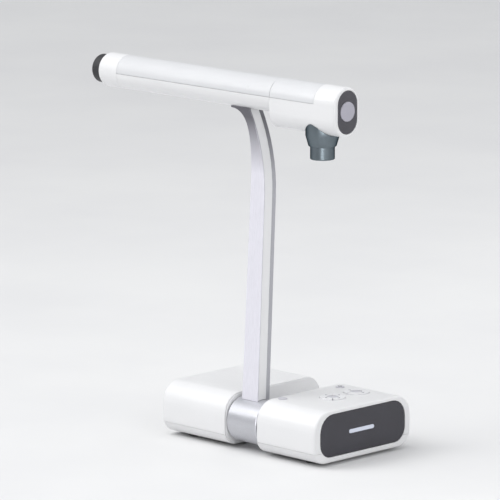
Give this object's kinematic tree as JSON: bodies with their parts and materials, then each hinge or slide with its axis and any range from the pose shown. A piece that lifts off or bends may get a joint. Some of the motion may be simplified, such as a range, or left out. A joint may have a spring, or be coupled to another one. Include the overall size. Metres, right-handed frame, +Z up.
{
  "type": "document camera",
  "caption": "Desktop document camera: notched base with key pads, fold-back arm, horizontal lamp bar and a turning camera head that looks down.",
  "frame": {"origin": "centre of the whole camera's box, at table height", "axes": "+X along the base and bar towards the lens end, -Y towards the front, +Z up"},
  "size_m": [0.4308, 0.17, 0.467],
  "materials": {
    "white_plastic": "satin white moulding with a very fine texture",
    "pale_plastic": "satin pale grey moulding",
    "silver_paint": "silver-grey metallic paint",
    "lavender_paint": "silver paint with a lavender tint",
    "grey_strip_paint": "grey strip with a lavender tint",
    "smoked_panel": "smoked gloss panel",
    "dark_plastic": "dark fine-textured moulding",
    "indicator_lens": "clear diffusing light bar",
    "steel": "zinc-plated steel",
    "brass": "plain brass",
    "circuit_board": "solder mask",
    "socket_metal": "nickel-plated socket shell",
    "socket_insulator": "blue socket insulator",
    "foot_rubber": "matt rubber",
    "key_plastic": "matt white keys",
    "grey_key_plastic": "lavender-grey keys",
    "lamp_diffuser": "frosted lamp cover",
    "lens_plastic": "slate lens mount",
    "lens_glass": "coated front element"
  },
  "bodies": {
    "base": {"base_tray": "white_plastic", "left_cover": "white_plastic", "right_cover": "white_plastic", "end_panel": "smoked_panel", "indicator_light": "indicator_lens", "bridge_plate": "white_plastic", "left_notch_trim": "white_plastic", "right_notch_trim": "white_plastic", "left_hinge_bracket": "steel", "right_hinge_bracket": "steel", "hinge_pin": "steel", "friction_washer": "brass", "torsion_spring": "steel", "ballast_plate": "steel", "main_board": "circuit_board", "button_board": "circuit_board", "rear_socket_plate": "dark_plastic", "power_socket": "dark_plastic", "usb_socket": "socket_metal", "hdmi_socket": "socket_metal", "vga_socket": "socket_insulator", "rubber_foot_1": "foot_rubber", "rubber_foot_2": "foot_rubber", "rubber_foot_3": "foot_rubber", "rubber_foot_4": "foot_rubber", "tray_screw_1": "steel", "tray_screw_2": "steel", "tray_screw_3": "steel", "tray_screw_4": "steel"},
    "arm": {"hinge_drum": "silver_paint", "arm_shell": "white_plastic", "arm_front_strip": "lavender_paint", "arm_back_strip": "grey_strip_paint", "arm_frame": "steel", "bar_lower_shell": "white_plastic", "bar_top_cover": "pale_plastic", "left_end_cap": "white_plastic", "left_end_bumper": "dark_plastic", "lamp_board": "circuit_board", "lamp_diffuser": "lamp_diffuser", "pivot_bearing": "dark_plastic", "pivot_tube": "steel"},
    "camera_head": {"head_shell": "white_plastic", "head_top_cover": "pale_plastic", "head_end_plate": "smoked_panel", "sensor_board": "circuit_board", "lens_collar": "lens_plastic", "lens_barrel": "lens_plastic", "front_lens": "lens_glass"},
    "focus_button_body": {"focus_button": "grey_key_plastic"},
    "right_key_body": {"right_key": "key_plastic"},
    "back_key_body": {"back_key": "key_plastic"},
    "left_key_body": {"left_key": "key_plastic"},
    "front_key_body": {"front_key": "key_plastic"},
    "menu_key_body": {"menu_key": "grey_key_plastic"},
    "zoom_in_key_body": {"zoom_in_key": "key_plastic"},
    "zoom_out_key_body": {"zoom_out_key": "key_plastic"},
    "freeze_key_body": {"freeze_key": "grey_key_plastic"},
    "power_key_body": {"power_key": "grey_key_plastic"},
    "arm_release_key_body": {"arm_release_key": "grey_key_plastic"}
  },
  "joints": [
    {"name": "arm_fold", "type": "hinge", "parent": "base", "child": "arm", "pos_m": [0.0684, -0.056, 0.036], "axis": [1, 0, 0], "range_deg": [-90, 40]},
    {"name": "head_turn", "type": "hinge", "parent": "arm", "child": "camera_head", "pos_m": [0.1039, -0.0495, 0.445], "axis": [1, 0, 0], "range_deg": [-90, 90]},
    {"name": "press_focus", "type": "slide", "parent": "camera_head", "child": "focus_button_body", "axis": [-1, 0, 0], "range_m": [0, 0.0012], "stiffness_N_per_m": 500},
    {"name": "press_right_key", "type": "slide", "parent": "base", "child": "right_key_body", "axis": [0, 0, -1], "range_m": [0, 0.0008], "stiffness_N_per_m": 500},
    {"name": "press_back_key", "type": "slide", "parent": "base", "child": "back_key_body", "axis": [0, 0, -1], "range_m": [0, 0.0008], "stiffness_N_per_m": 500},
    {"name": "press_left_key", "type": "slide", "parent": "base", "child": "left_key_body", "axis": [0, 0, -1], "range_m": [0, 0.0008], "stiffness_N_per_m": 500},
    {"name": "press_front_key", "type": "slide", "parent": "base", "child": "front_key_body", "axis": [0, 0, -1], "range_m": [0, 0.0008], "stiffness_N_per_m": 500},
    {"name": "press_menu_key", "type": "slide", "parent": "base", "child": "menu_key_body", "axis": [0, 0, -1], "range_m": [0, 0.0008], "stiffness_N_per_m": 500},
    {"name": "press_zoom_in_key", "type": "slide", "parent": "base", "child": "zoom_in_key_body", "axis": [0, 0, -1], "range_m": [0, 0.0008], "stiffness_N_per_m": 500},
    {"name": "press_zoom_out_key", "type": "slide", "parent": "base", "child": "zoom_out_key_body", "axis": [0, 0, -1], "range_m": [0, 0.0008], "stiffness_N_per_m": 500},
    {"name": "press_freeze_key", "type": "slide", "parent": "base", "child": "freeze_key_body", "axis": [0, 0, -1], "range_m": [0, 0.0008], "stiffness_N_per_m": 500},
    {"name": "press_power_key", "type": "slide", "parent": "base", "child": "power_key_body", "axis": [0, 0, -1], "range_m": [0, 0.0008], "stiffness_N_per_m": 500},
    {"name": "press_arm_release_key", "type": "slide", "parent": "base", "child": "arm_release_key_body", "axis": [0, 0, -1], "range_m": [0, 0.0008], "stiffness_N_per_m": 500}
  ]
}
